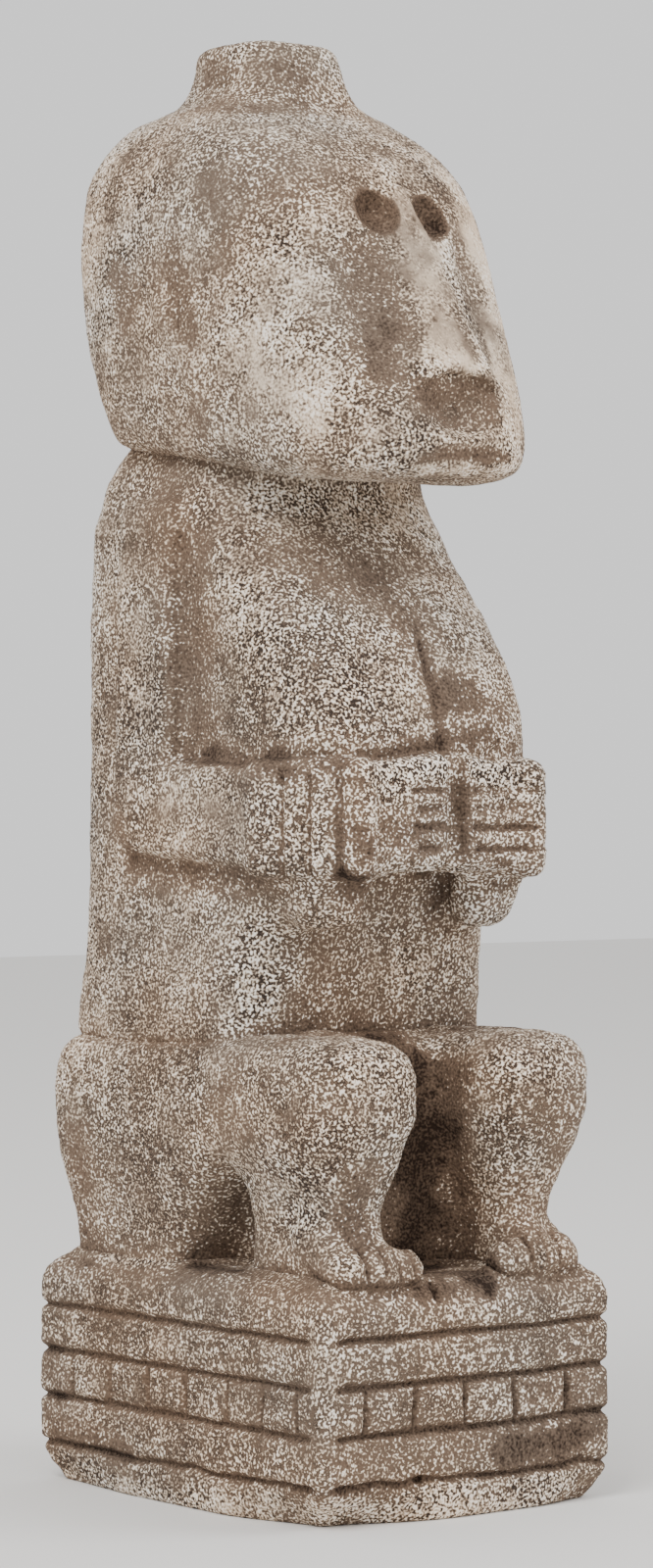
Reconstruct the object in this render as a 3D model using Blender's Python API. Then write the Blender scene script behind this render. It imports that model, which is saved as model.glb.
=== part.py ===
"""A seated stone figure on a banded block, carved as one piece.

Metres, +Z up. The origin is the middle of the underside of the block. The figure faces -Y, so its
right-hand side is at -X. The forms are blocked out on one side and mirrored, fused into one skin,
set on the block, and then the incised lines are cut.
"""
import math

import bmesh
import bpy
from mathutils import Matrix, Vector

# ---------------------------------------------------------------- driving dimensions, in metres
STATUE_HEIGHT = 0.760
BLOCK_HALF_WIDTH = 0.0960
BLOCK_HALF_DEPTH = 0.1210
BLOCK_HEIGHT = 0.121
BLOCK_SQUARENESS = 60.0                           # power of the plan's superellipse

BAND_GROOVES = (0.0204, 0.0458, 0.0700, 0.0936)   # heights of the grooves that ring the block
GROOVE_HALF_WIDTH = 0.0026
GROOVE_DEPTH = 0.0038
LONG_SIDE_TILES = (0.0900, -0.0316, 7)            # first cut, step and number of cuts along Y
END_TILES = (-0.0670, 0.0330, 5)                  # and along X, front and back

CHIN_REACH = 0.1195                               # how far the chin juts in front of the origin
NAPE_RISE = 0.022                                 # how much higher the jaw line is at the back
EYE_HEIGHT = 0.663
MOUTH_HEIGHT = 0.533

SKIN_VOXEL = 0.0026                               # size of the cells the figure is fused in
SKIN_TRIANGLES = 5700                             # what the fused figure is thinned to

RING_POINTS = 40
BACK_LEAN = 0.020                                 # where the front and back halves of a section meet


# ---------------------------------------------------------------- meshes and objects

def add_object(name, bm):
    """Turn a bmesh into an object of that name and put it in the scene."""
    bmesh.ops.recalc_face_normals(bm, faces=bm.faces)
    mesh = bpy.data.meshes.new(name)
    bm.to_mesh(mesh)
    bm.free()
    obj = bpy.data.objects.new(name, mesh)
    bpy.context.scene.collection.objects.link(obj)
    return obj


def ring_points(z, width, front, back, front_power, back_power, middle=0.0, centre_x=0.0):
    """A plan section: half a superellipse towards -Y and half towards +Y, meeting at y = middle."""
    points = []
    for i in range(RING_POINTS):
        turn = 2.0 * math.pi * (i + 0.5) / RING_POINTS
        c, s = math.cos(turn), math.sin(turn)
        power = back_power if s > 0 else front_power
        reach = back - middle if s > 0 else front + middle
        x = width * math.copysign(abs(c) ** (2.0 / power), c)
        y = middle + reach * math.copysign(abs(s) ** (2.0 / power), s)
        points.append(Vector((centre_x + x, y, z)))
    return points


def loft(bm, rings):
    """Bridge a stack of plan sections and cap both ends."""
    loops = [[bm.verts.new(p) for p in ring] for ring in rings]
    for lower, upper in zip(loops, loops[1:]):
        for i in range(len(lower)):
            j = (i + 1) % len(lower)
            bm.faces.new((lower[i], lower[j], upper[j], upper[i]))
    bm.faces.new(list(reversed(loops[0])))
    bm.faces.new(loops[-1])


def hull_of_balls(bm, balls):
    """The convex skin round some balls, each (x, y, z, radius)."""
    template = bmesh.new()
    bmesh.ops.create_icosphere(template, subdivisions=2, radius=1.0)
    directions = [v.co.copy() for v in template.verts]
    template.free()

    hull = bmesh.new()
    for x, y, z, radius in balls:
        for direction in directions:
            hull.verts.new(Vector((x, y, z)) + radius * direction)
    skin = bmesh.ops.convex_hull(hull, input=hull.verts)
    inside = [v for v in skin["geom_interior"] if isinstance(v, bmesh.types.BMVert)]
    bmesh.ops.delete(hull, geom=inside, context="VERTS")
    bmesh.ops.recalc_face_normals(hull, faces=hull.faces)

    mesh = bpy.data.meshes.new("hull")
    hull.to_mesh(mesh)
    hull.free()
    bm.from_mesh(mesh)
    bpy.data.meshes.remove(mesh)


def ball(bm, centre, radii, turned=(0.0, 0.0, 0.0)):
    """An egg: a ball stretched to three radii, turned (degrees) and moved to its centre."""
    place = Matrix.Translation(centre)
    for angle, axis in zip(turned, "XYZ"):
        place = place @ Matrix.Rotation(math.radians(angle), 4, axis)
    place = place @ Matrix.Diagonal((*radii, 1.0))
    bmesh.ops.create_icosphere(bm, subdivisions=3, radius=1.0, matrix=place)


def bar(bm, centre, size, turned=(0.0, 0.0, 0.0)):
    """A plain box of the given size, turned (degrees) about its centre."""
    place = Matrix.Translation(centre)
    for angle, axis in zip(turned, "XYZ"):
        place = place @ Matrix.Rotation(math.radians(angle), 4, axis)
    place = place @ Matrix.Diagonal((*size, 1.0))
    bmesh.ops.create_cube(bm, size=1.0, matrix=place)


def smooth_step(low, high, value):
    t = min(max((value - low) / (high - low), 0.0), 1.0)
    return t * t * (3.0 - 2.0 * t)


# ---------------------------------------------------------------- the figure's forms

def head_rows():
    """Height, half width, reach to the front and reach to the back, from jaw to crown."""
    return (
        (0.5220, 0.063, 0.0880, 0.080),
        (0.5255, 0.073, 0.1080, 0.088),
        (0.5300, 0.080, 0.1165, 0.094),
        (0.5380, 0.083, CHIN_REACH, 0.098),
        (0.5520, 0.086, 0.1175, 0.101),
        (0.5750, 0.089, 0.1080, 0.107),
        (0.6050, 0.091, 0.0930, 0.114),
        (0.6350, 0.091, 0.0790, 0.119),
        (0.6600, 0.090, 0.0670, 0.121),
        (0.6800, 0.087, 0.0560, 0.121),
        (0.6950, 0.081, 0.0420, 0.119),
        (0.7070, 0.072, 0.0260, 0.1155),
        (0.7175, 0.060, 0.0080, 0.1110),
        (0.7245, 0.048, -0.005, 0.1000),
    )


HEAD_FRONT_POWER = 2.6


def face_front(x, z):
    """How far forward (towards -Y) the bare face is at that place."""
    rows = head_rows()
    for (z0, w0, f0, _), (z1, w1, f1, _) in zip(rows, rows[1:]):
        if z0 <= z <= z1:
            t = (z - z0) / (z1 - z0)
            width, front = w0 + t * (w1 - w0), f0 + t * (f1 - f0)
            share = (1.0 - abs(x / width) ** HEAD_FRONT_POWER) ** (1.0 / HEAD_FRONT_POWER)
            return (front + BACK_LEAN) * share - BACK_LEAN
    raise ValueError("not on the face")


def add_head(bm):
    """Tall dome, flat sloping face that comes forward to a jutting chin, and the knob on top."""
    rings = []
    for z, width, front, back in head_rows():
        lift = NAPE_RISE * (1.0 - smooth_step(0.515, 0.610, z))
        ring = ring_points(z, width, front, back, HEAD_FRONT_POWER, 4.5, BACK_LEAN)
        rings.append([Vector((p.x, p.y, z + lift * smooth_step(-0.100, 0.110, p.y))) for p in ring])
    loft(bm, rings)

    knob_rows = (  # height, half size, middle
        (0.705, 0.056, 0.052),
        (0.722, 0.049, 0.049),
        (0.729, 0.041, 0.046),
        (0.736, 0.037, 0.045),
        (0.746, 0.034, 0.045),
        (0.754, 0.0325, 0.046),
        (0.758, 0.0318, 0.046),
        (STATUE_HEIGHT, 0.0300, 0.046),
    )
    loft(bm, [ring_points(z, s, s - y, s + y, 3.4, 3.4, y) for z, s, y in knob_rows])


def add_nose(bm):
    """A wedge: a narrow bridge between the eyes, a broad flat front, cut off square below."""
    bridge, root, base = 0.676, 0.640, 0.571
    corners = []
    for side in (-1, 1):
        corners += [
            (side * 0.0055, -0.0620, bridge, 0.003),
            (side * 0.0095, -0.0775, root, 0.003),
            (side * 0.0170, -0.1120, base + 0.006, 0.003),
            (side * 0.0270, -0.1000, base + 0.002, 0.003),
            (side * 0.0200, -0.0800, base + 0.006, 0.003),
            (side * 0.0120, -0.0600, bridge - 0.020, 0.003),
        ]
    hull_of_balls(bm, corners)


def add_torso(bm):
    """Trunk: square back, chest that slopes out to a full belly, and a waist set back below."""
    rows = (  # height, half width, front, back, power of the front corners
        (0.100, 0.046, 0.066, 0.090, 5.0),
        (0.195, 0.048, 0.066, 0.095, 5.0),
        (0.222, 0.070, 0.052, 0.110, 5.0),
        (0.240, 0.087, 0.044, 0.1195, 5.0),
        (0.262, 0.086, 0.047, 0.1175, 5.0),
        (0.290, 0.084, 0.051, 0.1150, 5.0),
        (0.318, 0.083, 0.060, 0.1145, 5.0),
        (0.350, 0.083, 0.080, 0.1145, 5.0),
        (0.390, 0.082, 0.094, 0.1145, 5.0),
        (0.405, 0.082, 0.091, 0.1145, 5.0),
        (0.427, 0.082, 0.083, 0.1145, 4.6),
        (0.450, 0.082, 0.072, 0.1145, 3.6),
        (0.475, 0.081, 0.053, 0.1145, 3.2),
        (0.488, 0.080, 0.044, 0.1145, 2.8),
        (0.500, 0.080, 0.036, 0.1140, 2.6),
        (0.513, 0.077, 0.028, 0.1120, 2.4),
        (0.525, 0.074, 0.024, 0.1100, 2.3),
        (0.538, 0.069, 0.024, 0.1040, 2.3),
        (0.560, 0.060, 0.020, 0.0850, 2.3),
    )
    loft(bm, [ring_points(z, w, f, b, p, 6.0, BACK_LEAN) for z, w, f, b, p in rows])


def add_hips(bm):
    """Seat and buttocks: nearly the size of the block, tucked in where they meet it."""
    rows = (  # height, half width, front, back
        (0.100, 0.0850, -0.010, 0.105),
        (0.122, 0.0860, -0.007, 0.106),
        (0.140, 0.0870, 0.003, 0.108),
        (0.155, 0.0895, 0.016, 0.112),
        (0.166, 0.0920, 0.030, 0.115),
        (0.176, 0.0935, 0.044, 0.117),
        (0.190, 0.0945, 0.056, 0.1190),
        (0.208, 0.0945, 0.060, 0.1195),
        (0.222, 0.0930, 0.060, 0.1175),
        (0.232, 0.0895, 0.056, 0.1130),
        (0.238, 0.0820, 0.046, 0.1050),
    )
    loft(bm, [ring_points(z, w, f, b, 5.0, 10.0, 0.045) for z, w, f, b in rows])


def add_leg(bm, side):
    """Thigh and knee as one square form, the shin drawn in below it, and the foot."""
    rows = (  # height, inner edge, outer edge, front, back, squareness
        (0.100, 0.040, 0.0760, -0.1020, -0.048, 3.0),
        (0.140, 0.040, 0.0755, -0.1035, -0.047, 3.0),
        (0.155, 0.040, 0.0770, -0.1050, -0.045, 3.0),
        (0.167, 0.037, 0.0815, -0.1090, -0.040, 3.0),
        (0.178, 0.034, 0.0870, -0.1120, -0.028, 3.2),
        (0.190, 0.030, 0.0925, -0.1155, 0.006, 3.6),
        (0.203, 0.028, 0.0940, -0.1185, 0.040, 4.5),
        (0.220, 0.028, 0.0940, -0.1190, 0.050, 4.5),
        (0.231, 0.031, 0.0915, -0.1165, 0.040, 4.5),
        (0.238, 0.037, 0.0850, -0.1100, 0.030, 4.5),
        (0.2415, 0.045, 0.0770, -0.1000, 0.020, 4.5),
    )
    rings = []
    for z, inner, outer, front, back, power in rows:
        middle, centre = (front + back) / 2.0, side * (inner + outer) / 2.0
        half = (outer - inner) / 2.0
        rings.append(ring_points(z, half, -front, back, power, power, middle, centre))
    loft(bm, rings)

    foot = (  # x, y, z, radius of each ball that the foot is stretched over
        (0.0315, -0.1095, 0.1250, 0.0095),
        (0.0500, -0.1110, 0.1260, 0.0095),
        (0.0720, -0.1080, 0.1250, 0.0095),
        (0.0500, -0.0880, 0.1410, 0.0110),
        (0.0715, -0.0800, 0.1430, 0.0100),
        (0.0460, -0.0650, 0.1250, 0.0110),
        (0.0730, -0.0620, 0.1250, 0.0110),
    )
    hull_of_balls(bm, [(side * x, y, z, r) for x, y, z, r in foot])


ARM_SIDE = 0.0925                                 # how far out the arms stand
WRIST_RADIUS = 0.0155
WRIST_BACK = (ARM_SIDE - WRIST_RADIUS, -0.0620)   # the forearm turns in here towards the hand
WRIST_FRONT = (0.0551, -0.0910)                   # and the back of the hand begins here
WRIST_LEVELS = (0.3370, 0.3665)                   # low and high edge of the wrist's core
CUFF_GROOVES = ((0.17, 0.0020), (0.56, 0.0024), (0.96, 0.0044))   # share of the way along, width


def add_arm(bm, side):
    """Upper arm straight down the side, a square elbow, and the forearm brought to the front."""
    shoulder, elbow, top = 0.505, 0.352, 0.381
    upper = []
    for y_back, y_front, z, out in ((0.050, 0.030, shoulder, 0.0875),
                                    (0.052, 0.026, elbow, ARM_SIDE)):
        for depth in (0.012, 0.024):
            upper += [(side * (out - depth), y, z, 0.012) for y in (y_back, y_front)]
    hull_of_balls(bm, upper)

    fore = []
    for x in (ARM_SIDE - 0.015, ARM_SIDE - 0.030):
        fore += [
            (side * x, 0.047, top - 0.015, 0.015),
            (side * x, 0.045, 0.3490, 0.015),
            (side * x, -0.056, top - 0.012, 0.015),
            (side * x, -0.058, 0.3370, 0.015),
        ]
    hull_of_balls(bm, fore)

    wrist = []
    for x, y in (WRIST_BACK, WRIST_FRONT, (0.0560, -0.0600)):
        wrist += [(side * x, y, z, WRIST_RADIUS) for z in WRIST_LEVELS]
    hull_of_balls(bm, wrist)


def add_hand(bm, side):
    """A flat mitten of a hand, its top rising to the middle, and the pad that hangs below it."""
    corners = []
    for x, y, top in ((0.0090, -0.0960, 0.3750), (0.0560, -0.0930, 0.3650), (0.0090, -0.0700, 0.3750),
                      (0.0560, -0.0700, 0.3650)):
        corners += [(side * x, y, top, 0.0105), (side * x, y, 0.3355, 0.0105)]
    hull_of_balls(bm, corners)

    pad = []
    for x, y, z, r in ((0.0430, -0.0770, 0.3260, 0.014), (0.0590, -0.0730, 0.3260, 0.014),
                       (0.0450, -0.0720, 0.3090, 0.014), (0.0560, -0.0660, 0.3090, 0.014),
                       (0.0680, -0.0520, 0.3280, 0.014), (0.0560, -0.0420, 0.3050, 0.014)):
        pad.append((side * x, y, z, r))
    hull_of_balls(bm, pad)


def add_ear(bm, side):
    """A long low ridge down the side of the head."""
    ridge = []
    for y, z, out, r in ((0.030, 0.634, 0.0855, 0.006), (0.016, 0.612, 0.0870, 0.006),
                         (-0.006, 0.575, 0.0830, 0.006), (-0.018, 0.550, 0.0770, 0.005)):
        ridge.append((side * out, y, z, r))
    hull_of_balls(bm, ridge)


def build_figure():
    """All the forms in one mesh, fused into a single skin, eased and thinned."""
    bm = bmesh.new()
    add_head(bm)
    add_nose(bm)
    add_torso(bm)
    add_hips(bm)
    for side in (-1, 1):
        add_leg(bm, side)
        add_arm(bm, side)
        add_hand(bm, side)
        add_ear(bm, side)
    figure = add_object("statue", bm)

    fuse = figure.modifiers.new("fuse forms", "REMESH")
    fuse.mode = "VOXEL"
    fuse.voxel_size = SKIN_VOXEL
    fuse.adaptivity = 0.0

    ease = figure.modifiers.new("ease edges", "SMOOTH")
    ease.factor = 0.5
    ease.iterations = 4
    return figure


# ---------------------------------------------------------------- the block

def band_levels():
    """Height, inset and squareness of the block's outline, from the underside to the slab's top."""
    levels = [(0.0, 0.0045, 9.0), (0.0040, 0.0015, 11.0), (0.0110, 0.0, 20.0)]
    for height in BAND_GROOVES:
        levels += [(height - GROOVE_HALF_WIDTH, 0.0004, BLOCK_SQUARENESS),
                   (height, GROOVE_DEPTH, BLOCK_SQUARENESS),
                   (height + GROOVE_HALF_WIDTH, 0.0004, BLOCK_SQUARENESS)]
    levels += [(0.1060, 0.0, BLOCK_SQUARENESS), (0.1130, 0.0022, 30.0), (0.1180, 0.0070, 20.0),
               (BLOCK_HEIGHT, 0.0140, 14.0)]
    return levels


def build_block():
    """The banded block. Its grooves fade out at the front corner on the figure's right."""
    bm = bmesh.new()
    kept_corner = Vector((-BLOCK_HALF_WIDTH, -BLOCK_HALF_DEPTH))
    worn_corner = Vector((-BLOCK_HALF_WIDTH, BLOCK_HALF_DEPTH))
    rings = []
    for z, inset, power in band_levels():
        ring = []
        for p in ring_points(z, BLOCK_HALF_WIDTH, BLOCK_HALF_DEPTH, BLOCK_HALF_DEPTH, power, power):
            plan = Vector((p.x, p.y))
            shrink = inset
            if min(BAND_GROOVES) - 0.003 < z < max(BAND_GROOVES) + 0.003:
                shrink *= smooth_step(0.004, 0.014, (plan - kept_corner).length)
            wear = 0.006 * (1.0 - smooth_step(0.0, 0.024, z))
            shrink += wear * (1.0 - smooth_step(0.0, 0.090, (plan - worn_corner).length))
            ring.append(Vector((p.x * (1.0 - shrink / BLOCK_HALF_WIDTH),
                                p.y * (1.0 - shrink / BLOCK_HALF_DEPTH), z)))
        rings.append(ring)
    loft(bm, rings)
    return add_object("block_form", bm)


# ---------------------------------------------------------------- what is cut away

def cut_tiles(bm):
    """Upright cuts that divide the middle band into small squares, on all four sides."""
    low, high = BAND_GROOVES[1], BAND_GROOVES[2]
    centre, height = (low + high) / 2.0, high - low - 0.003
    width, depth = 0.0036, 2.0 * GROOVE_DEPTH
    for side in (-1, 1):
        first, step, count = LONG_SIDE_TILES
        for i in range(count):
            bar(bm, (side * BLOCK_HALF_WIDTH, first + i * step, centre), (depth, width, height))
        first, step, count = END_TILES
        for i in range(count):
            bar(bm, (first + i * step, side * BLOCK_HALF_DEPTH, centre), (width, depth, height))


def sweep_cut(bm, path, depth, half_height):
    """A cut of lens section along points on the front of a form, each (x, y, z)."""
    sections = []
    for x, y, z in path:
        sections.append([bm.verts.new(p) for p in (
            (x, y - depth, z + half_height), (x, y + depth, z),
            (x, y - depth, z - half_height))])
    for a, b in zip(sections, sections[1:]):
        for i in range(3):
            bm.faces.new((a[i], a[(i + 1) % 3], b[(i + 1) % 3], b[i]))
    bm.faces.new(sections[0])
    bm.faces.new(list(reversed(sections[-1])))


def cut_face(bm):
    """Two drilled eyes, the hollow under the nose and the line of the mouth."""
    for side in (-1, 1):
        ball(bm, (side * 0.0195, -0.0700, EYE_HEIGHT), (0.0100, 0.0110, 0.0125), (-24.0, 0.0, 0.0))
    ball(bm, (0.0, -0.1120, 0.5630), (0.0260, 0.0125, 0.0115))

    half_mouth, droop, points = 0.0330, 0.0050, 9
    path = []
    for i in range(points):
        x = half_mouth * (2.0 * i / (points - 1) - 1.0)
        z = MOUTH_HEIGHT + droop * (1.0 - (x / half_mouth) ** 2)
        path.append((x, -face_front(x, z), z))
    sweep_cut(bm, path, 0.0036, 0.0030)


def cut_hands(bm):
    """The gap between the hands and three lines for the fingers on each."""
    bar(bm, (0.0, -0.1100, 0.3540), (0.0056, 0.0140, 0.0700))
    for side in (-1, 1):
        for z in (0.3660, 0.3540, 0.3420):
            bar(bm, (side * 0.0270, -0.1080, z), (0.0420, 0.0075, 0.0032), (0, 0, side * 3.6))


def cut_wrists(bm):
    """Three grooves round each wrist, which leave two raised bands between them."""
    turn_x, turn_y = WRIST_FRONT[0] - WRIST_BACK[0], WRIST_FRONT[1] - WRIST_BACK[1]
    length = math.hypot(turn_x, turn_y)
    low, high = WRIST_LEVELS[0] - WRIST_RADIUS, WRIST_LEVELS[1] + WRIST_RADIUS
    depth = 2.0 * GROOVE_DEPTH
    for side in (-1, 1):
        yaw = math.degrees(math.atan2(turn_y, side * turn_x))
        for share, width in CUFF_GROOVES:
            x, y = WRIST_BACK[0] + share * turn_x, WRIST_BACK[1] + share * turn_y
            for reach, z, size in (
                    (WRIST_RADIUS, (low + high) / 2.0, (width, depth, high - low)),
                    (WRIST_RADIUS / 2.0, high, (width, 0.024, depth)),
                    (WRIST_RADIUS / 2.0, low, (width, 0.024, depth))):
                out_x, out_y = x - reach * turn_y / length, y + reach * turn_x / length
                bar(bm, (side * out_x, out_y, z), size, (0.0, 0.0, yaw))


def cut_chest(bm):
    """The upright crease down the middle of the chest."""
    hull_of_balls(bm, [(0.004, -0.0760, 0.456, 0.0014), (0.004, -0.1020, 0.388, 0.0032),
                       (0.004, -0.0900, 0.388, 0.0032)])


def cut_feet(bm):
    """Short cuts between the toes."""
    for side in (-1, 1):
        for i in range(4):
            bar(bm, (side * (0.0335 + 0.0100 * i), -0.1210, 0.1310), (0.0022, 0.0130, 0.0110))


def build_cutter(name, *cuts):
    bm = bmesh.new()
    for cut in cuts:
        cut(bm)
    return add_object(name, bm)


# ---------------------------------------------------------------- assembly

def make_guide(obj):
    """Forms and cutters that only feed a Boolean: not part of the statue."""
    obj.hide_render = True
    obj.display_type = "WIRE"


def add_boolean(target, other, operation):
    step = target.modifiers.new(f"{operation.lower()} {other.name}", "BOOLEAN")
    step.operation = operation
    step.solver = "EXACT"
    step.object = other
    make_guide(other)


def stone_material():
    """Cast stone: pale wash over a brown body."""
    material = bpy.data.materials.new("whitewashed cast stone")
    material.use_nodes = True
    shader = material.node_tree.nodes["Principled BSDF"]
    shader.inputs["Base Color"].default_value = (0.36, 0.31, 0.26, 1.0)
    shader.inputs["Roughness"].default_value = 0.92
    shader.inputs["Metallic"].default_value = 0.0
    return material


def main():
    for obj in list(bpy.data.objects):
        bpy.data.objects.remove(obj, do_unlink=True)

    statue = build_figure()
    bpy.context.view_layer.update()
    fused = statue.evaluated_get(bpy.context.evaluated_depsgraph_get())
    fused_triangles = 2 * len(fused.data.polygons)

    thin = statue.modifiers.new("thin", "DECIMATE")
    thin.ratio = SKIN_TRIANGLES / fused_triangles

    add_boolean(statue, build_block(), "UNION")
    add_boolean(statue, build_cutter("carved_lines", cut_face, cut_hands, cut_wrists, cut_chest,
                                     cut_feet, cut_tiles), "DIFFERENCE")
    statue.data.materials.append(stone_material())


main()
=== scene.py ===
import math

import bmesh
import bpy
import numpy as np
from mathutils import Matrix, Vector


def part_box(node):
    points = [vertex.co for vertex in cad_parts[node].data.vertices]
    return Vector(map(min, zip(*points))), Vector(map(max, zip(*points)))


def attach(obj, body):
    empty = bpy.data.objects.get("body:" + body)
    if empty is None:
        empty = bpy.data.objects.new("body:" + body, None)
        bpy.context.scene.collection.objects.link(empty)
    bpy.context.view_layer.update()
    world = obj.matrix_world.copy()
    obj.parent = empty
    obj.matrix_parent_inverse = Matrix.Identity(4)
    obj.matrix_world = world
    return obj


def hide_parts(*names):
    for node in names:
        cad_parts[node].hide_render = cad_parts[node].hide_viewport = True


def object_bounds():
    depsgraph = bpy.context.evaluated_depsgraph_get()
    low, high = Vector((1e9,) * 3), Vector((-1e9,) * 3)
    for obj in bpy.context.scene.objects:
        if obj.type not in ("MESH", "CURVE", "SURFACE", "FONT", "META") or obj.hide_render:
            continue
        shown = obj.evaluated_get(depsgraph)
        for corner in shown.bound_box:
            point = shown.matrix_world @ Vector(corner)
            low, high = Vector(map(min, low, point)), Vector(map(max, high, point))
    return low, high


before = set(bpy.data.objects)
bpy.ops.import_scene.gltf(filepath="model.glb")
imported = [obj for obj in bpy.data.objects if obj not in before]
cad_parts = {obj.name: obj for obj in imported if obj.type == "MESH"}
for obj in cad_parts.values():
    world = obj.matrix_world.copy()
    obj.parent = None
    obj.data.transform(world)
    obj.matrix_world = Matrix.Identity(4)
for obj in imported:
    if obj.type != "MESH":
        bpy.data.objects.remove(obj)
cadLow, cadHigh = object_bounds()
blockLow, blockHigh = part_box("statue")
mm = (blockHigh.z - blockLow.z) / 760.0     # the forms below are set out in millimetres on a 760 mm statue


def curveThrough(z, knots, values):
    # a smooth line through the knots that never bulges past them: cubic pieces, each knot's slope
    # is the harmonic mean of its neighbours' slopes, or nothing where they change sign
    knots, values = np.asarray(knots, float), np.asarray(values, float)
    step = np.diff(knots)
    chord = np.diff(values) / step
    slope = np.concatenate(([chord[0]], np.zeros(len(knots) - 2), [chord[-1]]))
    product = chord[:-1] * chord[1:]
    slope[1:-1] = np.where(product > 0, 2 * product / np.where(product > 0, chord[:-1] + chord[1:], 1), 0)
    z = np.clip(z, knots[0], knots[-1])
    i = np.clip(np.searchsorted(knots, z) - 1, 0, len(step) - 1)
    t = (z - knots[i]) / step[i]
    return ((1 + 2 * t) * (1 - t) ** 2 * values[i] + t * (1 - t) ** 2 * step[i] * slope[i]
            + t * t * (3 - 2 * t) * values[i + 1] - t * t * (1 - t) * step[i] * slope[i + 1])


def ease(low, high, value):
    # 0 below low, 1 above high, and an S-curve between
    t = np.clip((value - low) / (high - low), 0, 1)
    return t * t * (3 - 2 * t)


def join(a, b, fillet):
    # two solids run together with a fillet: the lower distance, blended where both are close
    h = np.clip(0.5 + 0.5 * (b - a) / fillet, 0, 1)
    return b + (a - b) * h - fillet * h * (1 - h)


def cut(a, b, fillet):
    # solid a with solid b taken out of it, the lip eased
    return -join(-a, b, fillet)


def common(a, b, fillet):
    # what two solids share, the edge eased
    return -join(-a, -b, fillet)


def scramble(x, y, z, seed):
    # a repeatable number from 0 to 1 for each whole-number place
    n = (x * 374761393 + y * 668265263 + z * 2147483647 + seed * 1274126177) & 0xFFFFFFFF
    n = ((n ^ (n >> 13)) * 1274126177) & 0xFFFFFFFF
    n = ((n ^ (n >> 16)) * 2246822519) & 0xFFFFFFFF
    return ((n ^ (n >> 15)) & 0xFFFFFF) / float(0xFFFFFF)


def roughness(p, grain, seed):
    # bumps of about that grain in mm, -1 to 1: random heights on a cubic lattice, eased between
    q = p / grain + 100.0
    cell = np.floor(q).astype(np.int64)
    f = q - cell
    f = f * f * f * (f * (f * 6 - 15) + 10)
    total = np.zeros(len(p))
    for corner in range(8):
        dx, dy, dz = corner & 1, corner >> 1 & 1, corner >> 2
        weight = (np.abs(1 - dx - f[:, 0]) * np.abs(1 - dy - f[:, 1]) * np.abs(1 - dz - f[:, 2]))
        total += weight * scramble(cell[:, 0] + dx, cell[:, 1] + dy, cell[:, 2] + dz, seed)
    return 2 * total - 1


def pits(p, spacing, radius, seed):
    # round pits, 0 to 1: one at a random place in each cell of a lattice, its size random too
    q = p / spacing + 100.0
    cell = np.floor(q).astype(np.int64)
    deepest = np.zeros(len(p))
    for corner in np.ndindex(3, 3, 3):
        place = (cell + np.array(corner) - 1).T
        away = np.stack([along + scramble(*place, seed + axis) for axis, along in enumerate(place)], 1) - q
        size = radius / spacing * (0.4 + 0.9 * scramble(*place, seed + 3))
        deepest = np.maximum(deepest, 1 - (away ** 2).sum(1) / size ** 2)
    return np.clip(deepest, 0, 1)


def farFrom(p, place, unit=1):
    # the distance to a place, or with units along the axes, how many of them away it is
    return np.sqrt((((p - np.array(place)) / unit) ** 2).sum(1))


def squareRound(across, along, halfAcross, halfAlong, power):
    # how far outside a superellipse a place is: its level less one, over how fast the level grows
    u, v = across / halfAcross + 1e-4, along / halfAlong + 1e-4
    level = (u ** power + v ** power) ** (1 / power)
    slope = np.hypot((u / level) ** (power - 1) / halfAcross, (v / level) ** (power - 1) / halfAlong)
    return (level - 1) / slope


def stack(p, rows, middle, backPower, lip):
    # plan sections up a height, rows of (height, half width, front, back, front power): half a
    # superellipse towards the front and half towards the back, with flat ends eased by lip
    rows = np.asarray(rows, float)
    width, front, back, power = (curveThrough(p[:, 2], rows[:, 0], rows[:, i]) for i in (1, 2, 3, 4))
    y = p[:, 1] - middle
    reach = np.where(y < 0, front + middle, back - middle)
    power = np.where(y < 0, power, backPower)
    ends = np.maximum(rows[0, 0] - p[:, 2], p[:, 2] - rows[-1, 0])
    return common(squareRound(np.abs(p[:, 0]), np.abs(y), width, reach, power), ends, lip)


def turned(p, centre, angles):
    # the points as seen from a form's own centre and turn (degrees about X, Y, Z)
    q = p - np.asarray(centre, float)
    for axis, angle in enumerate(angles):
        if angle:
            c, s = math.cos(math.radians(angle)), math.sin(math.radians(angle))
            a, b = (axis + 1) % 3, (axis + 2) % 3
            q = q.copy()
            q[:, a], q[:, b] = c * q[:, a] + s * q[:, b], c * q[:, b] - s * q[:, a]
    return q


def slabForm(p, centre, half, edge, angles=(0, 0, 0)):
    # a box with rounded edges
    q = np.abs(turned(p, centre, angles)) - (np.asarray(half, float) - edge)
    return np.sqrt((np.maximum(q, 0) ** 2).sum(1)) + np.minimum(q.max(1), 0) - edge


def egg(p, centre, radii, angles=(0, 0, 0)):
    # a ball stretched to three radii
    q = turned(p, centre, angles)
    radii = np.asarray(radii, float)
    level = np.sqrt(((q / radii) ** 2).sum(1)) + 1e-6
    slope = np.sqrt(((q / radii ** 2) ** 2).sum(1)) + 1e-9
    return level * (level - 1) / slope


def stick(p, a, b, radiusA, radiusB):
    # a round bar from a to b that tapers from one radius to the other
    a, b = np.asarray(a, float), np.asarray(b, float)
    t = np.clip(((p - a) @ (b - a)) / ((b - a) @ (b - a)), 0, 1)
    return np.sqrt(((p - a - t[:, None] * (b - a)) ** 2).sum(1)) - radiusA - t * (radiusB - radiusA)


def mirrored(p):
    # both sides of the figure folded on to its left-hand side
    q = p.copy()
    q[:, 0] = np.abs(q[:, 0])
    return q


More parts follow.
